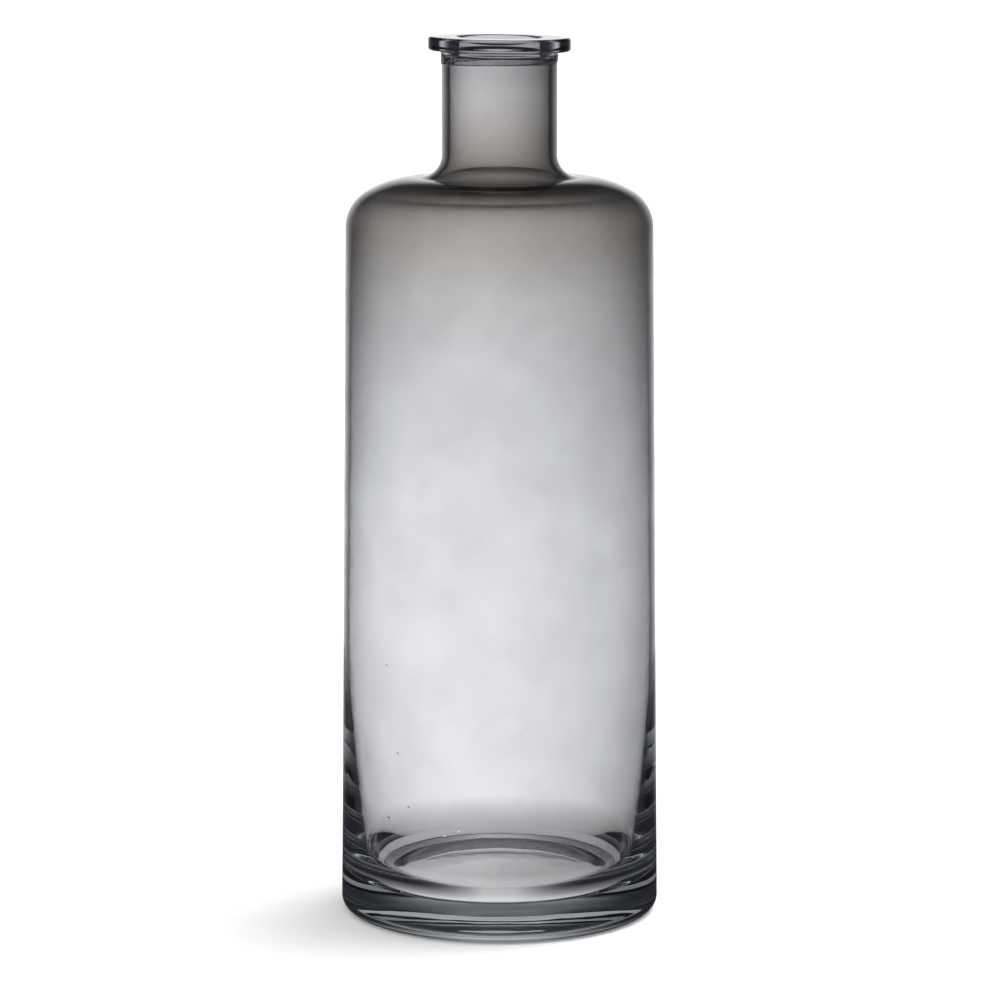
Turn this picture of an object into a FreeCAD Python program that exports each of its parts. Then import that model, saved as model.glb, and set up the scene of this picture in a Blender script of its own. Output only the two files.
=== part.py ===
"""Tall bottle vase in blown glass, as two fused pieces.

vessel    the blown bubble: thick foot with a hollowed underside, tapering
          body, round shoulder and straight neck, open at the top
lip_ring  the collar of hot glass that is wound over the cut end of the neck
          and tooled to a flat flange with a narrower mouth

Millimetres, +Z up. The origin is on the axis, in the plane the foot rests on.
Both pieces are turned shapes, so each is a half outline revolved about Z.
"""
import FreeCAD, Part
import math
import os
import Sketcher

DRIVING_SIZES = [
    # foot and body, outside
    ("foot_hollow_depth", 3.0, "rise of the hollow in the underside, at its middle"),
    ("foot_flat_radius", 18.0, "level middle of that hollow"),
    ("foot_hollow_radius", 58.0, "inner edge of the flat ring the vase rests on"),
    ("heel_round", 6.0, "rounding between the resting ring and the body"),
    ("base_radius", 72.8, "outside of the body just above the heel, its widest"),
    ("shoulder_radius", 69.6, "outside of the body where the shoulder begins"),
    ("body_height", 314.6, "from the resting plane to where the shoulder begins"),
    # shoulder and neck, outside
    ("shoulder_corner", 18.5, "radius of the turn from the body into the shoulder"),
    ("shoulder_crown", 3.9, "rise of the shoulder beyond its corner radius"),
    ("neck_root", 10.5, "hollow radius where the shoulder sweeps into the neck"),
    ("neck_radius", 26.0, "outside of the straight neck"),
    ("neck_length", 44.9, "straight part of the neck, up to its cut end"),
    # glass thickness
    ("floor_thickness", 14.0, "inside floor above the resting plane"),
    ("floor_corner", 21.0, "radius between the inside floor and the wall"),
    ("corner_rise", 17.2, "how far that rounding climbs before it meets the wall"),
    ("thick_zone", 120.0, "height below which the wall thickens towards the foot"),
    ("thick_sweep", 740.0, "radius of the inside face over that zone"),
    ("body_wall", 2.6, "glass of the body at its thinnest, just above that zone"),
    ("shoulder_wall", 3.1, "glass where the shoulder begins and over its crown"),
    ("neck_wall", 3.6, "glass of the neck"),
    # lip ring
    ("mouth_radius", 18.3, "bore of the lip ring"),
    ("flange_radius", 32.1, "outside of the flange"),
    ("flange_thickness", 6.2, "top face to underside of the flange"),
    ("flange_round", 1.3, "rounding of the flange's two outer edges"),
    ("mouth_round", 2.0, "rounding of the mouth's upper edge"),
    ("cap_height", 7.6, "glass of the ring above the cut end of the neck"),
    ("collar_wall", 0.45, "glass of the collar round the outside of the neck"),
    ("collar_lap", 4.0, "how far the collar reaches down the neck's outside"),
    ("collar_fillet", 0.8, "hollow radius between the flange and the collar"),
    ("inner_lap", 1.4, "how far the ring reaches down inside the neck"),
    ("inner_round", 1.2, "rounding of the ring's lower inside edge"),
]

# Heights that more than one outline uses, as expressions on the sheet.
CORNER_TOP = "Sizes.body_height + Sizes.shoulder_corner + Sizes.shoulder_crown"
NECK_START = CORNER_TOP + " + Sizes.neck_root"
NECK_END = NECK_START + " + Sizes.neck_length"
LIP_TOP = NECK_END + " + Sizes.cap_height"
NECK_BORE = "Sizes.neck_radius - Sizes.neck_wall"

START, END, CENTRE = 1, 2, 3
SKETCH_X_AXIS, SKETCH_Y_AXIS = -1, -2
ORIGIN = (SKETCH_X_AXIS, START)
HOLLOW_SHARE = 0.5


def make_sheet(doc):
    """The driving sizes, one named cell each."""
    sheet = doc.addObject("Spreadsheet::Sheet", "Sizes")
    for row, (name, value, meaning) in enumerate(DRIVING_SIZES, start=1):
        sheet.set(f"A{row}", name)
        sheet.set(f"B{row}", str(value))
        sheet.set(f"C{row}", meaning)
        sheet.setAlias(f"B{row}", name)
    doc.recompute()
    return sheet


class HalfOutline:
    """A closed half outline in the XZ plane of a body, drawn piece by piece.

    Every call adds one edge that starts where the last one ended. A smooth
    call makes the edge leave the last one without a corner.
    """

    def __init__(self, body, name):
        self.sketch = body.newObject("Sketcher::SketchObject", name)
        plane = next(f for f in body.Origin.OriginFeatures if f.Role == "XZ_Plane")
        self.sketch.AttachmentSupport = [(plane, "")]
        self.sketch.MapMode = "FlatFace"
        self.last = None

    def _join(self, edge, start, end, smooth):
        if self.last is not None:
            kind = "Tangent" if smooth else "Coincident"
            last_edge, last_end = self.last
            self.sketch.addConstraint(Sketcher.Constraint(kind, last_edge, last_end, edge, start))
        self.last = (edge, end)
        return edge

    def line(self, start, end, smooth=False):
        segment = Part.LineSegment(FreeCAD.Vector(*start, 0), FreeCAD.Vector(*end, 0))
        edge = self.sketch.addGeometry(segment)
        return self._join(edge, START, END, smooth)

    def arc(self, start, end, centre, smooth=True, clockwise=False):
        """An arc from start to end about centre, seen with X right and Z up."""
        if clockwise:
            first, second = end, start
        else:
            first, second = start, end
        angles = [math.atan2(p[1] - centre[1], p[0] - centre[0]) for p in (first, second)]
        if angles[1] < angles[0]:
            angles[1] += 2 * math.pi
        circle = Part.Circle(FreeCAD.Vector(*centre, 0), FreeCAD.Vector(0, 0, 1),
                             math.dist(start, centre))
        edge = self.sketch.addGeometry(Part.ArcOfCircle(circle, *angles))
        ends = (END, START) if clockwise else (START, END)
        return self._join(edge, *ends, smooth)

    def close(self, first, point=START):
        self.sketch.addConstraint(Sketcher.Constraint("Coincident", *self.last, first, point))

    def fix(self, kind, *where):
        self.sketch.addConstraint(Sketcher.Constraint(kind, *where))

    def size(self, kind, where, value, expression):
        """A dimension that the sheet drives; value is only its first guess."""
        index = self.sketch.addConstraint(Sketcher.Constraint(kind, *where, value))
        self.sketch.setExpression(f"Constraints[{index}]", expression)

    def radius_at(self, edge, point, value, expression):
        self.size("DistanceX", (*ORIGIN, edge, point), value, expression)

    def height_at(self, edge, point, value, expression):
        self.size("DistanceY", (*ORIGIN, edge, point), value, expression)


def axis_of(sketch):
    return (sketch, ["V_Axis"])


def make_vessel(doc, s):
    """Outside turned solid, then the inside bubble grooved out of it."""
    body = doc.addObject("PartDesign::Body", "vessel")
    body.Label = "vessel"
    crown_top = s.body_height + s.shoulder_corner + s.shoulder_crown
    neck_start = crown_top + s.neck_root
    neck_end = neck_start + s.neck_length
    root_radius = s.neck_radius + s.neck_root

    outer = HalfOutline(body, "vessel_outside")
    flat = outer.line((0, s.foot_hollow_depth), (s.foot_flat_radius, s.foot_hollow_depth))
    across = s.foot_hollow_radius - s.foot_flat_radius
    slope_radius = (across ** 2 + s.foot_hollow_depth ** 2) / (2 * s.foot_hollow_depth)
    outer.arc((s.foot_flat_radius, s.foot_hollow_depth), (s.foot_hollow_radius, 0),
              (s.foot_flat_radius, s.foot_hollow_depth - slope_radius), clockwise=True)
    heel_in = s.base_radius - s.heel_round
    ring = outer.line((s.foot_hollow_radius, 0), (heel_in, 0))
    heel = outer.arc((heel_in, 0), (s.base_radius, s.heel_round), (heel_in, s.heel_round))
    side = outer.line((s.base_radius, s.heel_round), (s.shoulder_radius, s.body_height), smooth=True)
    corner, crown = shoulder_arcs(outer, s.shoulder_radius, s.body_height, s.shoulder_corner,
                                  root_radius, crown_top)
    root = outer.arc((root_radius, crown_top), (s.neck_radius, neck_start),
                     (root_radius, neck_start), clockwise=True)
    neck = outer.line((s.neck_radius, neck_start), (s.neck_radius, neck_end), smooth=True)
    cut = outer.line((s.neck_radius, neck_end), (0, neck_end))
    outer.line((0, neck_end), (0, s.foot_hollow_depth))
    outer.close(flat)

    outer.fix("PointOnObject", flat, START, SKETCH_Y_AXIS)
    outer.fix("PointOnObject", cut, END, SKETCH_Y_AXIS)
    outer.fix("PointOnObject", ring, START, SKETCH_X_AXIS)
    outer.fix("Horizontal", flat)
    outer.fix("Horizontal", ring)
    outer.fix("Horizontal", cut)
    outer.fix("Vertical", neck)
    outer.fix("Vertical", crown, CENTRE, crown, END)
    outer.height_at(flat, START, s.foot_hollow_depth, "Sizes.foot_hollow_depth")
    outer.radius_at(flat, END, s.foot_flat_radius, "Sizes.foot_flat_radius")
    outer.radius_at(ring, START, s.foot_hollow_radius, "Sizes.foot_hollow_radius")
    outer.size("Radius", (heel,), s.heel_round, "Sizes.heel_round")
    outer.radius_at(side, START, s.base_radius, "Sizes.base_radius")
    outer.radius_at(side, END, s.shoulder_radius, "Sizes.shoulder_radius")
    outer.height_at(side, END, s.body_height, "Sizes.body_height")
    outer.size("Radius", (corner,), s.shoulder_corner, "Sizes.shoulder_corner")
    outer.height_at(crown, END, crown_top, CORNER_TOP)
    outer.size("Radius", (root,), s.neck_root, "Sizes.neck_root")
    outer.radius_at(neck, START, s.neck_radius, "Sizes.neck_radius")
    outer.height_at(neck, END, neck_end, NECK_END)

    solid = body.newObject("PartDesign::Revolution", "vessel_blown_solid")
    solid.Profile = outer.sketch
    solid.ReferenceAxis = axis_of(outer.sketch)
    solid.Angle = 360
    doc.recompute()
    solid_volume = solid.Shape.Volume

    inner = HalfOutline(body, "vessel_inside")
    wall_top = s.shoulder_radius - s.shoulder_wall
    bore = s.neck_radius - s.neck_wall
    lean = (s.base_radius - s.shoulder_radius) / (s.body_height - s.heel_round)
    wall_low = s.shoulder_radius + lean * (s.body_height - s.thick_zone) - s.body_wall
    sweep_centre = (wall_low - s.thick_sweep, s.thick_zone)
    corner_top = s.floor_thickness + s.corner_rise
    meet = (sweep_centre[0] + math.sqrt(s.thick_sweep ** 2 - (s.thick_zone - corner_top) ** 2),
            corner_top)
    corner_reach = math.sqrt(s.floor_corner ** 2 - (s.floor_corner - s.corner_rise) ** 2)
    floor_end = (meet[0] - corner_reach, s.floor_thickness)
    floor = inner.line((0, s.floor_thickness), floor_end)
    floor_corner = inner.arc(floor_end, meet, (floor_end[0], s.floor_thickness + s.floor_corner))
    sweep = inner.arc(meet, (wall_low, s.thick_zone), sweep_centre, smooth=False)
    wall = inner.line((wall_low, s.thick_zone), (wall_top, s.body_height), smooth=True)
    inner_corner = s.shoulder_corner - s.shoulder_wall
    inner_top = crown_top - s.shoulder_wall
    corner_in, crown_in = shoulder_arcs(inner, wall_top, s.body_height, inner_corner,
                                        root_radius, inner_top)
    inner_root = s.neck_root + s.neck_wall
    root_in = inner.arc((root_radius, inner_top), (bore, inner_top + inner_root),
                        (root_radius, inner_top + inner_root), clockwise=True)
    bore_line = inner.line((bore, inner_top + inner_root), (bore, neck_end), smooth=True)
    top = inner.line((bore, neck_end), (0, neck_end))
    inner.line((0, neck_end), (0, s.floor_thickness))
    inner.close(floor)

    inner.fix("PointOnObject", floor, START, SKETCH_Y_AXIS)
    inner.fix("PointOnObject", top, END, SKETCH_Y_AXIS)
    inner.fix("Horizontal", floor)
    inner.fix("Horizontal", top)
    inner.fix("Vertical", bore_line)
    inner.fix("Vertical", crown_in, CENTRE, crown_in, END)
    inner.height_at(floor, START, s.floor_thickness, "Sizes.floor_thickness")
    inner.size("Radius", (floor_corner,), s.floor_corner, "Sizes.floor_corner")
    inner.height_at(sweep, START, corner_top, "Sizes.floor_thickness + Sizes.corner_rise")
    inner.size("Radius", (sweep,), s.thick_sweep, "Sizes.thick_sweep")
    inner.height_at(wall, START, s.thick_zone, "Sizes.thick_zone")
    inner.radius_at(wall, START, wall_low,
                    "Sizes.shoulder_radius + (Sizes.base_radius - Sizes.shoulder_radius)"
                    " * (Sizes.body_height - Sizes.thick_zone) / (Sizes.body_height - Sizes.heel_round)"
                    " - Sizes.body_wall")
    inner.radius_at(wall, END, wall_top, "Sizes.shoulder_radius - Sizes.shoulder_wall")
    inner.height_at(wall, END, s.body_height, "Sizes.body_height")
    inner.size("Radius", (corner_in,), inner_corner, "Sizes.shoulder_corner - Sizes.shoulder_wall")
    inner.height_at(crown_in, END, inner_top, CORNER_TOP + " - Sizes.shoulder_wall")
    inner.size("Radius", (root_in,), inner_root, "Sizes.neck_root + Sizes.neck_wall")
    inner.radius_at(bore_line, START, bore, NECK_BORE)
    inner.height_at(bore_line, END, neck_end, NECK_END)

    bubble = body.newObject("PartDesign::Groove", "vessel_bubble")
    bubble.Profile = inner.sketch
    bubble.ReferenceAxis = axis_of(inner.sketch)
    bubble.Angle = 360
    doc.recompute()
    if bubble.Shape.Volume > HOLLOW_SHARE * solid_volume:
        raise RuntimeError("the bubble did not hollow the vessel")
    return body


def shoulder_arcs(outline, start_radius, start_height, corner_radius, end_radius, top):
    """The tight corner arc, then the wide crown arc that ends level at end_radius."""
    across = start_radius - corner_radius - end_radius
    rise = top - start_height
    crown_radius = (rise ** 2 + across ** 2 - corner_radius ** 2) / (2 * (rise - corner_radius))
    corner_centre = (start_radius - corner_radius, start_height)
    crown_centre = (end_radius, top - crown_radius)
    angle = math.atan2(corner_centre[1] - crown_centre[1], corner_centre[0] - crown_centre[0])
    meet = (crown_centre[0] + crown_radius * math.cos(angle),
            crown_centre[1] + crown_radius * math.sin(angle))
    corner = outline.arc((start_radius, start_height), meet, corner_centre)
    crown = outline.arc(meet, (end_radius, top), crown_centre)
    return corner, crown


def make_lip_ring(doc, s):
    """One turned outline: flange, collar and the socket that holds the neck's end."""
    body = doc.addObject("PartDesign::Body", "lip_ring")
    body.Label = "lip_ring"
    neck_end = (s.body_height + s.shoulder_corner + s.shoulder_crown + s.neck_root + s.neck_length)
    top = neck_end + s.cap_height
    under = top - s.flange_thickness
    bore = s.neck_radius - s.neck_wall
    collar = s.neck_radius + s.collar_wall
    low = neck_end - s.collar_lap
    inner_low = neck_end - s.inner_lap

    outline = HalfOutline(body, "lip_ring_section")
    flange_flat = s.flange_radius - s.flange_round
    upper_turn = top - s.flange_round
    lower_turn = under + s.flange_round
    fillet_out = collar + s.collar_fillet
    fillet_low = under - s.collar_fillet
    top_face = outline.line((s.mouth_radius + s.mouth_round, top), (flange_flat, top))
    upper = outline.arc((flange_flat, top), (s.flange_radius, upper_turn),
                        (flange_flat, upper_turn), clockwise=True)
    rim = outline.line((s.flange_radius, upper_turn), (s.flange_radius, lower_turn), smooth=True)
    lower = outline.arc((s.flange_radius, lower_turn), (flange_flat, under),
                        (flange_flat, lower_turn), clockwise=True)
    underside = outline.line((flange_flat, under), (fillet_out, under), smooth=True)
    hollow = outline.arc((fillet_out, under), (collar, fillet_low), (fillet_out, fillet_low))
    collar_side = outline.line((collar, fillet_low), (collar, low + s.collar_wall), smooth=True)
    collar_edge = outline.arc((collar, low + s.collar_wall), (s.neck_radius, low),
                              (s.neck_radius, low + s.collar_wall), clockwise=True)
    socket_out = outline.line((s.neck_radius, low), (s.neck_radius, neck_end))
    socket_top = outline.line((s.neck_radius, neck_end), (bore, neck_end))
    socket_in = outline.line((bore, neck_end), (bore, inner_low))
    ledge_end = s.mouth_radius + s.inner_round
    inner_turn = inner_low + s.inner_round
    mouth_turn = top - s.mouth_round
    ledge = outline.line((bore, inner_low), (ledge_end, inner_low))
    inner_edge = outline.arc((ledge_end, inner_low), (s.mouth_radius, inner_turn),
                             (ledge_end, inner_turn), clockwise=True)
    mouth = outline.line((s.mouth_radius, inner_turn), (s.mouth_radius, mouth_turn), smooth=True)
    mouth_edge = outline.arc((s.mouth_radius, mouth_turn), (s.mouth_radius + s.mouth_round, top),
                             (s.mouth_radius + s.mouth_round, mouth_turn), clockwise=True)
    outline.fix("Tangent", mouth_edge, START, top_face, START)

    for level in (top_face, underside, socket_top, ledge):
        outline.fix("Horizontal", level)
    for upright in (rim, collar_side, socket_out, socket_in, mouth):
        outline.fix("Vertical", upright)
    outline.fix("Vertical", collar_edge, CENTRE, collar_edge, START)
    outline.height_at(top_face, START, top, LIP_TOP)
    outline.size("Radius", (upper,), s.flange_round, "Sizes.flange_round")
    outline.size("Radius", (lower,), s.flange_round, "Sizes.flange_round")
    outline.radius_at(rim, START, s.flange_radius, "Sizes.flange_radius")
    outline.height_at(underside, START, under, LIP_TOP + " - Sizes.flange_thickness")
    outline.size("Radius", (hollow,), s.collar_fillet, "Sizes.collar_fillet")
    outline.radius_at(collar_side, START, collar, "Sizes.neck_radius + Sizes.collar_wall")
    outline.size("Radius", (collar_edge,), s.collar_wall, "Sizes.collar_wall")
    outline.height_at(socket_out, START, low, NECK_END + " - Sizes.collar_lap")
    outline.height_at(socket_top, START, neck_end, NECK_END)
    outline.radius_at(socket_in, START, bore, NECK_BORE)
    outline.height_at(ledge, START, inner_low, NECK_END + " - Sizes.inner_lap")
    outline.size("Radius", (inner_edge,), s.inner_round, "Sizes.inner_round")
    outline.radius_at(mouth, START, s.mouth_radius, "Sizes.mouth_radius")
    outline.size("Radius", (mouth_edge,), s.mouth_round, "Sizes.mouth_round")

    ring = body.newObject("PartDesign::Revolution", "lip_ring_turned")
    ring.Profile = outline.sketch
    ring.ReferenceAxis = axis_of(outline.sketch)
    ring.Angle = 360
    doc.recompute()
    return body


def check(doc, pieces):
    """Stop before writing anything if the document or a piece is not sound."""
    for thing in doc.Objects:
        if {"Invalid", "Error"} & set(thing.State):
            raise RuntimeError(f"{thing.Name} failed: {thing.State}")
        if thing.TypeId == "Sketcher::SketchObject" and thing.solve() != 0:
            raise RuntimeError(f"{thing.Name} does not solve")
    for piece in pieces:
        if piece.Shape.isNull() or not piece.Shape.isValid() or len(piece.Shape.Solids) != 1:
            raise RuntimeError(f"{piece.Label} is not one sound solid")


doc = FreeCAD.newDocument("bottle_vase")
sizes = make_sheet(doc)
pieces = [make_vessel(doc, sizes), make_lip_ring(doc, sizes)]
doc.recompute()
check(doc, pieces)

os.makedirs("parts", exist_ok=True)
for piece in pieces:
    piece.Shape.exportStep(f"parts/{piece.Label}.step")
    print(f"{piece.Label}: {piece.Shape.Volume:.0f} mm3")
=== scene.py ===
"""Tall smoke-tinted bottle vase: the blown vessel and the ring of glass that makes its lip."""
import bpy
import math
import random
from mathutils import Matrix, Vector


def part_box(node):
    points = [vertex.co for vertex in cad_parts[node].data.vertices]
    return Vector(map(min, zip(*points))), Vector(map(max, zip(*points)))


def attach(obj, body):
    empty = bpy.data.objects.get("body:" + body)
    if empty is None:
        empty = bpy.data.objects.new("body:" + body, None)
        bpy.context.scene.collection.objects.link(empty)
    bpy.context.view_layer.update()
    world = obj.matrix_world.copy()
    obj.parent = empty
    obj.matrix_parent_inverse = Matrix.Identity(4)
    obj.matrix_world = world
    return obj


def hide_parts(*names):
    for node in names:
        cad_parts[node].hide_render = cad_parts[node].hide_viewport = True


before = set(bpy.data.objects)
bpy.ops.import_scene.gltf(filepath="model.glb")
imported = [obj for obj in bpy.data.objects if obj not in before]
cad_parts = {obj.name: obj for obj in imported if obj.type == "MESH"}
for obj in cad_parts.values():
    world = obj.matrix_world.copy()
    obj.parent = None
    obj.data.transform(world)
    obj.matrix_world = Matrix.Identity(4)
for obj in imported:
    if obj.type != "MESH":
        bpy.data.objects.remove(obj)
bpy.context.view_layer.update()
MM = 0.001


# ---------------------------------------------------------------------------
# Vessel: one gather of soda-lime glass, blown as a bubble and turned while it
# is soft, so every height is round. The foot is left thick, with its underside
# pushed in, and the wall thins upwards. Its neck ends in the lip ring.
# ---------------------------------------------------------------------------
FOOT_HOLLOW_DEPTH = 3.0
FOOT_FLAT_RADIUS = 18.0
FOOT_HOLLOW_RADIUS = 58.0
HEEL_ROUND = 6.0
BASE_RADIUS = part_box("vessel")[1][0] / MM
SHOULDER_RADIUS = 69.6
BODY_HEIGHT = 314.6
SHOULDER_CORNER = 18.5
SHOULDER_CROWN = 3.9
NECK_ROOT = 10.5
NECK_RADIUS = 26.0
FLOOR_THICKNESS = 14.0
FLOOR_CORNER = 21.0
CORNER_RISE = 17.2
THICK_ZONE = 120.0
THICK_SWEEP = 740.0
BODY_WALL = 2.6
SHOULDER_WALL = 3.1
NECK_WALL = 3.6
# The end of the neck is drawn rising this far inwards, up into the lip ring.
SEAM_SLANT = 2.6
SEAM_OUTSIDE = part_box("lip_ring")[0][2] / MM
SEAM_INSIDE = SEAM_OUTSIDE + SEAM_SLANT


def straight(start, end, spacing=5.0):
    """Points of a straight stretch of an outline, about spacing millimetres apart."""
    steps = max(1, round(math.dist(start, end) / spacing))
    return [(start[0] + (end[0] - start[0]) * i / steps,
             start[1] + (end[1] - start[1]) * i / steps) for i in range(steps + 1)]


def bend(centre, radius, first, last, spacing=4.0):
    """Points of a round stretch between two angles, about spacing degrees apart."""
    steps = max(2, math.ceil(abs(last - first) / spacing))
    angles = [math.radians(first + (last - first) * i / steps) for i in range(steps + 1)]
    return [(centre[0] + radius * math.cos(a), centre[1] + radius * math.sin(a)) for a in angles]


SAME_POINT = 0.001


def outline_of(*stretches):
    """One outline from its stretches, without the points that two of them share."""
    points = []
    for point in (p for stretch in stretches for p in stretch):
        if not points or math.dist(points[-1], point) > SAME_POINT:
            points.append(point)
    return points


CROWN_SPACING = 2.5


def shoulder(start_radius, start_height, corner, end_radius, top):
    """The turn in from the wall, then the wide crown that ends level at end_radius."""
    across = start_radius - corner - end_radius
    rise = top - start_height
    crown = (rise ** 2 + across ** 2 - corner ** 2) / (2 * (rise - corner))
    corner_centre = (start_radius - corner, start_height)
    crown_centre = (end_radius, top - crown)
    meet = math.degrees(math.atan2(corner_centre[1] - crown_centre[1],
                                   corner_centre[0] - crown_centre[0]))
    return (bend(corner_centre, corner, 0, meet)
            + bend(crown_centre, crown, meet, 90, CROWN_SPACING))


crown_top = BODY_HEIGHT + SHOULDER_CORNER + SHOULDER_CROWN
neck_start = crown_top + NECK_ROOT
root_radius = NECK_RADIUS + NECK_ROOT

FLOOR_SPACING = 3
HOLLOW_SPACING = 0.4
CORNER_SPACING = 2.5
SWEEP_SPACING = 0.25

hollow_reach = FOOT_HOLLOW_RADIUS - FOOT_FLAT_RADIUS
hollow_arc = (hollow_reach ** 2 + FOOT_HOLLOW_DEPTH ** 2) / (2 * FOOT_HOLLOW_DEPTH)
hollow_centre = (FOOT_FLAT_RADIUS, FOOT_HOLLOW_DEPTH - hollow_arc)
hollow_edge = math.degrees(math.atan2(-hollow_centre[1], hollow_reach))
heel_in = BASE_RADIUS - HEEL_ROUND
outside = outline_of(
    straight((0, FOOT_HOLLOW_DEPTH), (FOOT_FLAT_RADIUS, FOOT_HOLLOW_DEPTH), FLOOR_SPACING),
    bend(hollow_centre, hollow_arc, 90, hollow_edge, HOLLOW_SPACING),
    straight((FOOT_HOLLOW_RADIUS, 0), (heel_in, 0), FLOOR_SPACING),
    bend((heel_in, HEEL_ROUND), HEEL_ROUND, -90, 0),
    straight((BASE_RADIUS, HEEL_ROUND), (SHOULDER_RADIUS, BODY_HEIGHT)),
    shoulder(SHOULDER_RADIUS, BODY_HEIGHT, SHOULDER_CORNER, root_radius, crown_top),
    bend((root_radius, neck_start), NECK_ROOT, 270, 180),
    straight((NECK_RADIUS, neck_start), (NECK_RADIUS, SEAM_OUTSIDE)))

lean = (BASE_RADIUS - SHOULDER_RADIUS) / (BODY_HEIGHT - HEEL_ROUND)
wall_top = SHOULDER_RADIUS - SHOULDER_WALL
wall_low = SHOULDER_RADIUS + lean * (BODY_HEIGHT - THICK_ZONE) - BODY_WALL
sweep_centre = (wall_low - THICK_SWEEP, THICK_ZONE)
sweep_turn = math.asin((THICK_ZONE - FLOOR_THICKNESS - CORNER_RISE) / THICK_SWEEP)
corner_turn = math.asin((FLOOR_CORNER - CORNER_RISE) / FLOOR_CORNER)
floor_end = (sweep_centre[0] + THICK_SWEEP * math.cos(sweep_turn)
             - FLOOR_CORNER * math.cos(corner_turn))
bore = NECK_RADIUS - NECK_WALL
inner_root = NECK_ROOT + NECK_WALL
inner_top = crown_top - SHOULDER_WALL
inside = outline_of(
    straight((0, FLOOR_THICKNESS), (floor_end, FLOOR_THICKNESS), FLOOR_SPACING),
    bend((floor_end, FLOOR_THICKNESS + FLOOR_CORNER), FLOOR_CORNER,
         -90, -math.degrees(corner_turn), CORNER_SPACING),
    bend(sweep_centre, THICK_SWEEP, -math.degrees(sweep_turn), 0, SWEEP_SPACING),
    straight((wall_low, THICK_ZONE), (wall_top, BODY_HEIGHT)),
    shoulder(wall_top, BODY_HEIGHT, SHOULDER_CORNER - SHOULDER_WALL, root_radius, inner_top),
    bend((root_radius, inner_top + inner_root), inner_root, 270, 180),
    straight((bore, inner_top + inner_root), (bore, SEAM_INSIDE)))


def node(tree, kind, inputs=None, **settings):
    """Adds a node, with its settings and with its inputs as constants or as sockets to link."""
    added = tree.nodes.new(kind)
    for name, value in settings.items():
        setattr(added, name, value)
    for name, value in (inputs or {}).items():
        if isinstance(value, bpy.types.NodeSocket):
            tree.links.new(value, added.inputs[name])
        else:
            added.inputs[name].default_value = value
    return added


def maths(tree, operation, first, second=0.0, third=0.0):
    """One Math node's result."""
    return node(tree, "ShaderNodeMath", {0: first, 1: second, 2: third},
                operation=operation).outputs[0]


# Degrees that an edge turns before it is drawn sharp, and metres that close a gap.
SHARP_FROM = 28.0
WELDED_WITHIN = 1e-5


def lathe_tree():
    """Geometry Nodes that turn a half outline about Z, like glass on the pipe.

    A point of the outline has its radius in X and its height in Z. Its Y is the
    slope of the ring that it draws, 0 for a level one. Corners stay sharp.
    """
    tree = bpy.data.node_groups.new("turned_on_the_pipe", "GeometryNodeTree")
    make = tree.interface.new_socket
    make("Half Outline", in_out="INPUT", socket_type="NodeSocketGeometry")
    make("Steps Around", in_out="INPUT", socket_type="NodeSocketInt")
    make("Glass", in_out="INPUT", socket_type="NodeSocketMaterial")
    make("Turned", in_out="OUTPUT", socket_type="NodeSocketGeometry")
    given = tree.nodes.new("NodeGroupInput").outputs
    outline, steps = given["Half Outline"], given["Steps Around"]

    points = node(tree, "GeometryNodeAttributeDomainSize", {"Geometry": outline},
                  component="MESH").outputs["Point Count"]
    columns = maths(tree, "ADD", steps, 1)
    grid = node(tree, "GeometryNodeMeshGrid", {"Vertices X": points, "Vertices Y": columns})
    index = node(tree, "GeometryNodeInputIndex").outputs[0]
    along = maths(tree, "FLOOR", maths(tree, "DIVIDE", maths(tree, "ADD", index, 0.5), columns))
    around = maths(tree, "SUBTRACT", index, maths(tree, "MULTIPLY", along, columns))
    angle = maths(tree, "DIVIDE", maths(tree, "MULTIPLY", around, 2 * math.pi), steps)
    place = node(tree, "GeometryNodeInputPosition").outputs[0]
    sampled = node(tree, "GeometryNodeSampleIndex",
                   {"Geometry": outline, "Value": place, "Index": along},
                   data_type="FLOAT_VECTOR", domain="POINT").outputs[0]
    half = node(tree, "ShaderNodeSeparateXYZ", {0: sampled}).outputs
    x = maths(tree, "MULTIPLY", half["X"], maths(tree, "COSINE", angle))
    y = maths(tree, "MULTIPLY", half["X"], maths(tree, "SINE", angle))
    z = maths(tree, "MULTIPLY_ADD", x, half["Y"], half["Z"])
    turned = node(tree, "ShaderNodeCombineXYZ", {"X": x, "Y": y, "Z": z}).outputs[0]
    moved = node(tree, "GeometryNodeSetPosition",
                 {"Geometry": grid.outputs["Mesh"], "Position": turned})
    closed = node(tree, "GeometryNodeMergeByDistance",
                  {"Geometry": moved.outputs[0], "Distance": WELDED_WITHIN})
    smooth = node(tree, "GeometryNodeSetShadeSmooth", {"Geometry": closed.outputs[0]})
    turn_of_edge = node(tree, "GeometryNodeInputMeshEdgeAngle").outputs["Unsigned Angle"]
    sharp = maths(tree, "GREATER_THAN", turn_of_edge, math.radians(SHARP_FROM))
    edged = node(tree, "GeometryNodeSetShadeSmooth",
                 {"Geometry": smooth.outputs[0], "Selection": sharp, "Shade Smooth": False},
                 domain="EDGE")
    real = node(tree, "GeometryNodeRealizeInstances", {"Geometry": edged.outputs[0]})
    glazed = node(tree, "GeometryNodeSetMaterial",
                  {"Geometry": real.outputs[0], "Material": given["Glass"]})
    node(tree, "NodeGroupOutput", {"Turned": glazed.outputs[0]})
    return tree


# The flange was tooled a little out of level, lower on the right. The neck
# follows it: it is level at LEVEL_BELOW and leans as far just under the seam.
LEVEL_BELOW = 352.0
LEANS_FULLY = SEAM_OUTSIDE - 0.1
FLANGE_SLOPE = -0.0112


def slope_at(height):
    """Slope across the vase of the ring of glass at a height."""
    if height < LEVEL_BELOW:
        return 0.0
    share = min(1.0, (height - LEVEL_BELOW) / (LEANS_FULLY - LEVEL_BELOW))
    return FLANGE_SLOPE * share


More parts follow.
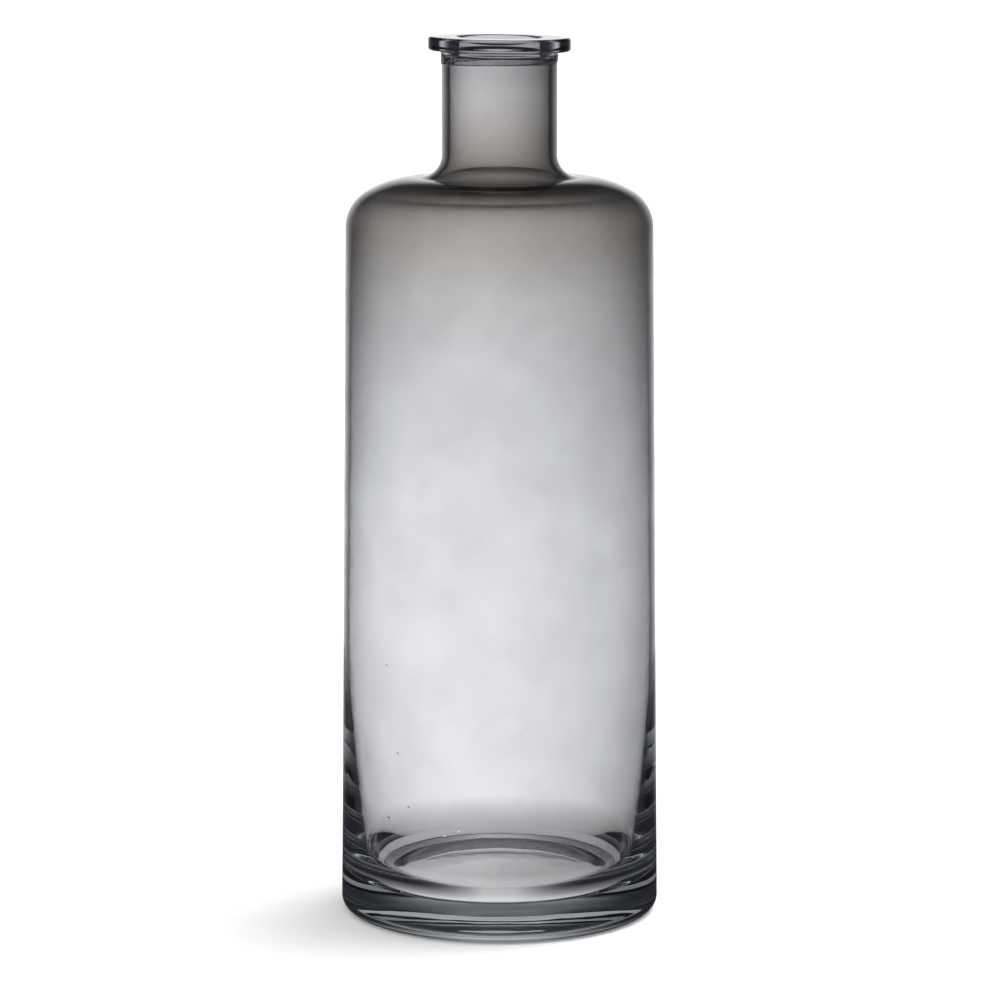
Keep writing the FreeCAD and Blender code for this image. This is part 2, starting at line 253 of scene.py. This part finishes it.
def turn(name, outline, slopes, glass, steps=240):
    """A piece of glass turned from its half outline, given in millimetres, as a plain mesh."""
    points = [(r * MM, slope, z * MM) for (r, z), slope in zip(outline, slopes)]
    edges = [(i, i + 1) for i in range(len(points) - 1)]
    drawn = bpy.data.meshes.new(name + "_outline")
    drawn.from_pydata(points, edges, [])
    piece = bpy.data.objects.new(name, drawn)
    bpy.context.scene.collection.objects.link(piece)
    lathe = piece.modifiers.new("turned", "NODES")
    lathe.node_group = lathe_tree()
    sockets = {item.name: item.identifier for item in lathe.node_group.interface.items_tree}
    lathe[sockets["Steps Around"]] = steps
    lathe[sockets["Glass"]] = glass
    evaluated = piece.evaluated_get(bpy.context.evaluated_depsgraph_get())
    solid = bpy.data.meshes.new_from_object(evaluated)
    piece.modifiers.remove(lathe)
    piece.data = solid
    return piece


# The smoke tint is a stain in the skin of the glass: almost none in the foot,
# most on the shoulder, where it turns brown. The near-black rows from 332 to 337,
# where the crown meets the neck, are painted shade, not stain: the dark that the
# thick glass at the neck root shows. Each height in millimetres has the share
# that passes through both walls and how much redder than blue that is.
STAIN_AND_SHADE_BY_HEIGHT = [
    (0, 0.95, 0.0), (60, 0.92, -0.03), (143, 0.82, -0.04), (200, 0.77, -0.04), (240, 0.69, -0.04),
    (275, 0.61, -0.02), (290, 0.54, 0.02), (300, 0.46, 0.07), (310, 0.41, 0.14), (320, 0.37, 0.17),
    (329, 0.28, 0.16), (332, 0.16, 0.15), (334, 0.05, 0.15), (337, 0.05, 0.15), (339, 0.22, 0.16),
    (346, 0.31, 0.16), (352, 0.38, 0.13), (359, 0.45, 0.08), (366, 0.50, 0.04), (374, 0.53, 0.01),
    (384, 0.46, -0.02), (400, 0.46, -0.02)]
TINT_TOP = 400
# How much darker the glass is drawn where it is seen edge on: partly the stain's
# longer path through the skin, partly painted shade for the dark edges that the
# room gives real glass, the most in the foot, where there is almost no stain.
EDGE_FOOT, EDGE_MIDDLE, EDGE_NECK = 0.60, 0.18, 0.86
FOOT_EDGE_FROM, FOOT_EDGE_FULL = 140, 40
NECK_EDGE_FROM, NECK_EDGE_FULL = 185, 312
# How much darker the glass is painted on the right, painted shade for the backlight
# falling off to that side, and how much the cloudy patches vary the stain.
RIGHT_BODY, RIGHT_NECK = 0.10, 0.19
RIGHT_NECK_FROM, RIGHT_NECK_FULL = 320, 355
CLOUDS = 0.11
CLOUD_SCALE = 32.0
CLOUD_DETAIL = 3.0
GLASS_IOR = 1.5
GLASS_ABSORBS = 5.4
GLASS_TEAL = (0.0, 0.07, 0.14, 1)
# Ripples of the pipe's turning, and seeds: small bubbles that raise the skin.
RIPPLE_SCALE = 75.0
RIPPLE_DETAIL = 1.0
RIPPLE_HEIGHT = 0.00005
SEED_HEIGHT = 0.0004
SEED_RADIUS = 0.8
SEED_COUNT = 9
SEEDS_FROM, SEEDS_TO = 45, 165
SEEDS_LEFT, SEEDS_RIGHT = -50, 20


def scattered_seeds():
    """Places of the seeds on the outside, low on the front of the body, the same each time."""
    draw = random.Random(7)
    for _ in range(SEED_COUNT):
        up = draw.uniform(SEEDS_FROM, SEEDS_TO)
        round_from_front = math.radians(draw.uniform(SEEDS_LEFT, SEEDS_RIGHT))
        out = BASE_RADIUS - lean * (up - HEEL_ROUND)
        yield out * math.sin(round_from_front), -out * math.cos(round_from_front), up


def clear_glass(name, absorbs):
    """A material of clear glass that absorbs a little, and its shader, to be tinted."""
    glass = bpy.data.materials.new(name)
    glass.use_nodes = True
    tree = glass.node_tree
    shader = tree.nodes["Principled BSDF"]
    shader.inputs["Transmission Weight"].default_value = 1.0
    shader.inputs["Metallic"].default_value = 0.0
    shader.inputs["Roughness"].default_value = 0.0
    shader.inputs["IOR"].default_value = GLASS_IOR
    body = node(tree, "ShaderNodeVolumeAbsorption", {"Color": GLASS_TEAL, "Density": absorbs})
    tree.links.new(body.outputs[0], tree.nodes["Material Output"].inputs["Volume"])
    return glass, shader


def between(tree, value, first, last, most=1.0, **settings):
    """0 where a value is first, most where it is last, and a steady change between."""
    return node(tree, "ShaderNodeMapRange",
                {"Value": value, "From Min": first, "From Max": last, "To Max": most},
                **settings).outputs[0]


def smoke_glass():
    """Glass stained by height, cloudy, rippled and seeded; darker edge on, partly by painted
    shade, with painted shade to the right and at the neck root.
    """
    glass, shader = clear_glass("smoke_glass", GLASS_ABSORBS)
    tree = glass.node_tree
    place = node(tree, "ShaderNodeTexCoord").outputs["Object"]
    x, y, height = node(tree, "ShaderNodeSeparateXYZ", {0: place}).outputs
    ramp = node(tree, "ShaderNodeValToRGB", {"Fac": maths(tree, "DIVIDE", height, TINT_TOP * MM)})
    stops = ramp.color_ramp.elements
    stops.remove(stops[1])
    for i, (level, passed, warmth) in enumerate(STAIN_AND_SHADE_BY_HEIGHT):
        stop = stops[0] if i == 0 else stops.new(level / TINT_TOP)
        stop.position = level / TINT_TOP
        # Each wall has two surfaces, and each of them passes the root of the colour.
        each = passed ** 0.5
        stop.color = (each * (1 + warmth / 4), each, each * (1 - warmth / 4), 1)

    # Partly painted shade: the glass is darkened where it is seen edge on, most in the foot.
    facing = node(tree, "ShaderNodeLayerWeight", {"Blend": 0.5}).outputs["Facing"]
    to_neck = between(tree, height, NECK_EDGE_FROM * MM, NECK_EDGE_FULL * MM)
    to_foot = between(tree, height, FOOT_EDGE_FROM * MM, FOOT_EDGE_FULL * MM)
    edge_share = maths(tree, "MULTIPLY_ADD", to_neck, EDGE_NECK - EDGE_MIDDLE, EDGE_MIDDLE)
    edge_share = maths(tree, "MULTIPLY_ADD", to_foot, EDGE_FOOT - EDGE_MIDDLE, edge_share)
    edge = maths(tree, "SUBTRACT", 1.0, maths(tree, "MULTIPLY", facing, edge_share))
    # Painted shade: the glass is darker on the right, where the backlight falls off.
    in_neck = between(tree, height, RIGHT_NECK_FROM * MM, RIGHT_NECK_FULL * MM)
    side_share = maths(tree, "MULTIPLY_ADD", in_neck, RIGHT_NECK - RIGHT_BODY, RIGHT_BODY)
    level_part = node(tree, "ShaderNodeCombineXYZ", {"X": x, "Y": y}).outputs[0]
    radius = node(tree, "ShaderNodeVectorMath", {0: level_part},
                  operation="LENGTH").outputs["Value"]
    to_right = maths(tree, "DIVIDE", x, maths(tree, "MAXIMUM", radius, MM))
    painted_right_shade = maths(tree, "SUBTRACT", 1.0, maths(tree, "MULTIPLY", to_right, side_share))
    cloud = node(tree, "ShaderNodeTexNoise",
                 {"Vector": place, "Scale": CLOUD_SCALE, "Detail": CLOUD_DETAIL}).outputs[0]
    cloudy = maths(tree, "MULTIPLY_ADD", cloud, -2 * CLOUDS, 1.0 + CLOUDS)
    strength = maths(tree, "MULTIPLY", maths(tree, "MULTIPLY", edge, painted_right_shade), cloudy)
    tinted = node(tree, "ShaderNodeVectorMath", {0: ramp.outputs["Color"], "Scale": strength},
                  operation="SCALE").outputs[0]
    tree.links.new(tinted, shader.inputs["Base Color"])

    ripple = node(tree, "ShaderNodeTexNoise",
                  {"Vector": place, "Scale": RIPPLE_SCALE, "Detail": RIPPLE_DETAIL}).outputs[0]
    relief = maths(tree, "MULTIPLY", ripple, RIPPLE_HEIGHT / SEED_HEIGHT)
    for seed in scattered_seeds():
        gap = node(tree, "ShaderNodeVectorMath", {0: place, 1: tuple(c * MM for c in seed)},
                   operation="DISTANCE").outputs["Value"]
        bead = between(tree, gap, SEED_RADIUS * MM, 0.0, interpolation_type="SMOOTHSTEP")
        relief = maths(tree, "ADD", relief, bead)
    skin = node(tree, "ShaderNodeBump",
                {"Strength": 1.0, "Distance": SEED_HEIGHT, "Height": relief})
    tree.links.new(skin.outputs[0], shader.inputs["Normal"])
    return glass


vessel_outline = inside + outside[::-1]
vessel_slopes = [slope_at(z) for r, z in vessel_outline]
vessel = turn("vessel_glass", vessel_outline, vessel_slopes, smoke_glass())
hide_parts("vessel")
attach(vessel, "root")


# ---------------------------------------------------------------------------
# Lip ring: a collar of hot glass wound over the cut end of the neck and tooled
# to a flat flange. It is fused to the neck, so its seat sinks a hair into the
# neck's glass here. It sits a little askew, and the end of its collar more so.
# ---------------------------------------------------------------------------
LIP_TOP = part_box("lip_ring")[1][2] / MM
FLANGE_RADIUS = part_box("lip_ring")[1][0] / MM
FLANGE_THICKNESS = 6.2
FLANGE_ROUND = 1.3
MOUTH_RADIUS = 18.3
MOUTH_ROUND = 2.0
COLLAR_WALL = 0.45
COLLAR_FILLET = 0.8
INNER_ROUND = 1.2
SUNK = 0.02
COLLAR_SLANTS_BELOW = 392.55
COLLAR_END_SLOPE = 0.021
LIP_TINT = (0.74, 0.74, 0.75, 1)
LIP_ABSORBS = 16.0
TOP_SPACING = 1.5
SIDE_SPACING = 1
ROUND_SPACING = 9
COLLAR_END_SPACING = 15

under = LIP_TOP - FLANGE_THICKNESS
collar = NECK_RADIUS + COLLAR_WALL
rim_in = FLANGE_RADIUS - FLANGE_ROUND
ring_outline = outline_of(
    straight((MOUTH_RADIUS + MOUTH_ROUND, LIP_TOP), (rim_in, LIP_TOP), TOP_SPACING),
    bend((rim_in, LIP_TOP - FLANGE_ROUND), FLANGE_ROUND, 90, 0, ROUND_SPACING),
    straight((FLANGE_RADIUS, LIP_TOP - FLANGE_ROUND), (FLANGE_RADIUS, under + FLANGE_ROUND),
             SIDE_SPACING),
    bend((rim_in, under + FLANGE_ROUND), FLANGE_ROUND, 0, -90, ROUND_SPACING),
    straight((rim_in, under), (collar + COLLAR_FILLET, under), SIDE_SPACING),
    bend((collar + COLLAR_FILLET, under - COLLAR_FILLET), COLLAR_FILLET, 90, 180, ROUND_SPACING),
    straight((collar, under - COLLAR_FILLET), (collar, SEAM_OUTSIDE + COLLAR_WALL), SIDE_SPACING),
    bend((NECK_RADIUS, SEAM_OUTSIDE + COLLAR_WALL), COLLAR_WALL, 0, -90, COLLAR_END_SPACING),
    straight((NECK_RADIUS, SEAM_OUTSIDE - SUNK), (bore, SEAM_INSIDE - SUNK), SIDE_SPACING),
    straight((bore, SEAM_INSIDE), (MOUTH_RADIUS + INNER_ROUND, SEAM_INSIDE), SIDE_SPACING),
    bend((MOUTH_RADIUS + INNER_ROUND, SEAM_INSIDE + INNER_ROUND), INNER_ROUND, -90, -180,
         ROUND_SPACING),
    straight((MOUTH_RADIUS, SEAM_INSIDE + INNER_ROUND), (MOUTH_RADIUS, LIP_TOP - MOUTH_ROUND),
             SIDE_SPACING),
    bend((MOUTH_RADIUS + MOUTH_ROUND, LIP_TOP - MOUTH_ROUND), MOUTH_ROUND, 180, 90,
         ROUND_SPACING))
ring_outline.append(ring_outline[0])

lip_glass, lip_shader = clear_glass("lip_glass", LIP_ABSORBS)
lip_shader.inputs["Base Color"].default_value = LIP_TINT
ring_slopes = [COLLAR_END_SLOPE if z < COLLAR_SLANTS_BELOW and r > NECK_RADIUS else FLANGE_SLOPE
               for r, z in ring_outline]
lip_ring = turn("lip_ring_glass", ring_outline, ring_slopes, lip_glass)
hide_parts("lip_ring")
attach(lip_ring, "root")


# ---------------------------------------------------------------------------
# Studio: a white sweep lit from behind the vase, with the room dark to both
# sides and overhead. What is seen straight through both walls is the white;
# what the glass mirrors, or bends in its thick parts, falls off into the dark.
# ---------------------------------------------------------------------------
SWEEP_LIGHT = 1.06
ROOM_LIGHT = 1.02
WHITE = (1, 1, 1, 1)
DARK_SIDES = (0.040, 0.042, 0.052, 1)
# Angles round from straight behind the vase, then up from level, in degrees.
DARK_FROM, WHITE_WITHIN = 50.0, 8.0
FALLS_OFF = 2.5
DARK_ABOVE, WHITE_BELOW = 18.0, 5.0


def beside_or_behind(tree, towards):
    """How much of the white sweep lies that way round: 1 behind the vase, 0 to the sides."""
    flat = node(tree, "ShaderNodeSeparateXYZ", {0: towards}).outputs
    angle = maths(tree, "ABSOLUTE", maths(tree, "ARCTAN2", flat["X"], flat["Y"]))
    share = between(tree, angle, math.radians(DARK_FROM), math.radians(WHITE_WITHIN))
    return maths(tree, "POWER", share, FALLS_OFF)


def above_or_level(tree, towards):
    """How much of the white sweep lies at that height: 1 near the horizon, 0 overhead."""
    rise = node(tree, "ShaderNodeSeparateXYZ", {0: towards}).outputs["Z"]
    return between(tree, rise, math.sin(math.radians(DARK_ABOVE)),
                   math.sin(math.radians(WHITE_BELOW)))


NONE_YET = 0.5
OVER_TWO_SURFACES = 2.5


def passes_both_walls(tree, path):
    """1 for a ray that came straight through the hollow body, else 0."""
    through = maths(tree, "GREATER_THAN", path["Transmission Depth"], OVER_TWO_SURFACES)
    unmirrored = maths(tree, "LESS_THAN", path["Glossy Depth"], NONE_YET)
    return maths(tree, "MULTIPLY", through, unmirrored)


def met_glass(tree, path):
    """1 for a ray of sight that has been through the glass or off it, else 0."""
    bounces = maths(tree, "ADD", path["Transmission Depth"], path["Glossy Depth"])
    met = maths(tree, "GREATER_THAN", bounces, NONE_YET)
    not_lighting = maths(tree, "LESS_THAN", path["Diffuse Depth"], NONE_YET)
    return maths(tree, "MULTIPLY", met, not_lighting)


def is_bent_or_mirrored(tree, path):
    """1 for a ray of sight that the glass has mirrored or bent sideways, else 0."""
    return maths(tree, "MULTIPLY", met_glass(tree, path),
                 maths(tree, "SUBTRACT", 1.0, passes_both_walls(tree, path)))


TABLE_PAINT = (0.9, 0.9, 0.9, 1)
# Painted light: seen through glass the table is not lit but glows in this colour.
TABLE_GLOW_IN_GLASS = (1.05, 1.045, 1.055, 1)
# Distances on the table from the middle of the foot, in metres: where bent
# rays see it white, where they do in front, and where the foot shades it.
WHITE_NEAR = (0.038, 0.066)
FRONT_NEAR = (0.130, 0.090)
SHADE_INSIDE = (0.060, 0.045)
SHADE_OUTSIDE = (0.075, 0.140)
SHADE_UNDER_FOOT = 0.6
LESS_IN_THE_MIDDLE = 0.75


def white_table():
    """A matt white table. Through glass it is a painted glow instead of lit, with painted shade
    under the foot and painted dark where the glass bends rays aside.
    """
    paint = bpy.data.materials.new("white_table")
    paint.use_nodes = True
    tree = paint.node_tree
    tree.nodes.clear()
    path = node(tree, "ShaderNodeLightPath").outputs
    matt = node(tree, "ShaderNodeBsdfDiffuse", {"Color": TABLE_PAINT}).outputs[0]
    place = node(tree, "ShaderNodeTexCoord").outputs["Object"]
    distance = node(tree, "ShaderNodeVectorMath", {0: place}, operation="LENGTH").outputs["Value"]

    folded_back = node(tree, "ShaderNodeVectorMath", {0: place}, operation="ABSOLUTE").outputs[0]
    white_front = maths(tree, "MULTIPLY", beside_or_behind(tree, folded_back),
                        between(tree, distance, *FRONT_NEAR))
    to_side = maths(tree, "SUBTRACT", 1.0,
                    maths(tree, "MAXIMUM", beside_or_behind(tree, place), white_front))
    away = between(tree, distance, *WHITE_NEAR)
    darkened = maths(tree, "MULTIPLY", is_bent_or_mirrored(tree, path),
                     maths(tree, "MULTIPLY", to_side, away))
    through = node(tree, "ShaderNodeMix", {"Factor": darkened}, data_type="RGBA")
    through.inputs["A"].default_value = TABLE_GLOW_IN_GLASS
    through.inputs["B"].default_value = DARK_SIDES

    unshaded = maths(tree, "ADD", between(tree, distance, *SHADE_INSIDE, most=LESS_IN_THE_MIDDLE),
                     between(tree, distance, *SHADE_OUTSIDE))
    lit = maths(tree, "MULTIPLY_ADD", unshaded, 1 - SHADE_UNDER_FOOT, SHADE_UNDER_FOOT)
    # Painted light and shade: a glow in place of the table's lighting, dimmed into painted shade
    # under the foot.
    painted_glow = node(tree, "ShaderNodeEmission",
                {"Color": through.outputs["Result"], "Strength": lit}).outputs[0]
    surface = node(tree, "ShaderNodeMixShader",
                   {0: met_glass(tree, path), 1: matt, 2: painted_glow}).outputs[0]
    node(tree, "ShaderNodeOutputMaterial", {"Surface": surface})
    return paint


TABLE_RADIUS = 30.0
TABLE_STEP = 3
table_turns = [math.radians(angle) for angle in range(0, 360, TABLE_STEP)]
table_edge = [(TABLE_RADIUS * math.cos(a), TABLE_RADIUS * math.sin(a), 0) for a in table_turns]
table_mesh = bpy.data.meshes.new("table")
table_mesh.from_pydata(table_edge, [], [range(len(table_edge))])
table_mesh.materials.append(white_table())
table = bpy.data.objects.new("table", table_mesh)
bpy.context.scene.collection.objects.link(table)


def studio_room():
    """White all round as light and as seen directly, and a sweep with dark sides in the glass."""
    room = bpy.data.worlds.new("studio")
    room.use_nodes = True
    tree = room.node_tree
    tree.nodes.clear()
    path = node(tree, "ShaderNodeLightPath").outputs
    direction = node(tree, "ShaderNodeTexCoord").outputs["Generated"]
    unbent = maths(tree, "SUBTRACT", 1.0, is_bent_or_mirrored(tree, path))
    round_share = maths(tree, "MAXIMUM", unbent, beside_or_behind(tree, direction))
    white_share = maths(tree, "MULTIPLY", above_or_level(tree, direction), round_share)
    seen = node(tree, "ShaderNodeMix", {"Factor": white_share}, data_type="RGBA")
    seen.inputs["A"].default_value = DARK_SIDES
    seen.inputs["B"].default_value = WHITE
    in_glass = node(tree, "ShaderNodeBackground",
                    {"Color": seen.outputs["Result"], "Strength": SWEEP_LIGHT}).outputs[0]
    plain = node(tree, "ShaderNodeBackground", {"Color": WHITE, "Strength": ROOM_LIGHT}).outputs[0]
    all_rays = node(tree, "ShaderNodeMixShader",
                    {0: met_glass(tree, path), 1: plain, 2: in_glass}).outputs[0]
    node(tree, "ShaderNodeOutputWorld", {"Surface": all_rays})
    return room


bpy.context.scene.world = studio_room()

# A wide soft lamp, up and to the right, that lays the short shadow on the left.
LAMP_LIGHT = 2.2
LAMP_SPREAD = 40
LAMP_TURN = (-12, 22, 0)
sun = bpy.data.lights.new("soft_lamp", "SUN")
sun.energy = LAMP_LIGHT
sun.angle = math.radians(LAMP_SPREAD)
lamp = bpy.data.objects.new("soft_lamp", sun)
lamp.rotation_euler = [math.radians(turned) for turned in LAMP_TURN]
lamp.visible_glossy = False
lamp.visible_transmission = False
bpy.context.scene.collection.objects.link(lamp)

view = bpy.context.scene.view_settings
view.view_transform = "Standard"
cycles = bpy.context.scene.cycles
cycles.max_bounces = 24
cycles.transmission_bounces = 24
cycles.glossy_bounces = 12


# ---------------------------------------------------------------------------
# Camera: a long lens, a little above the lip and looking slightly down.
# ---------------------------------------------------------------------------
SENSOR_WIDTH = 36
LENS = 152.913
LENS_SHIFT = 0.0005
SEES_AS_FAR_AS = 100
CAMERA_PLACE = (0, -1.912474, 0.500181)
LOOKS_DOWN = 9.224

optics = bpy.data.cameras.new("camera")
optics.sensor_width = SENSOR_WIDTH
optics.lens = LENS
optics.shift_x = LENS_SHIFT
optics.clip_end = SEES_AS_FAR_AS
camera = bpy.data.objects.new("camera", optics)
camera.location = CAMERA_PLACE
camera.rotation_euler = (math.radians(90 - LOOKS_DOWN), 0, 0)
bpy.context.scene.collection.objects.link(camera)
bpy.context.scene.camera = camera
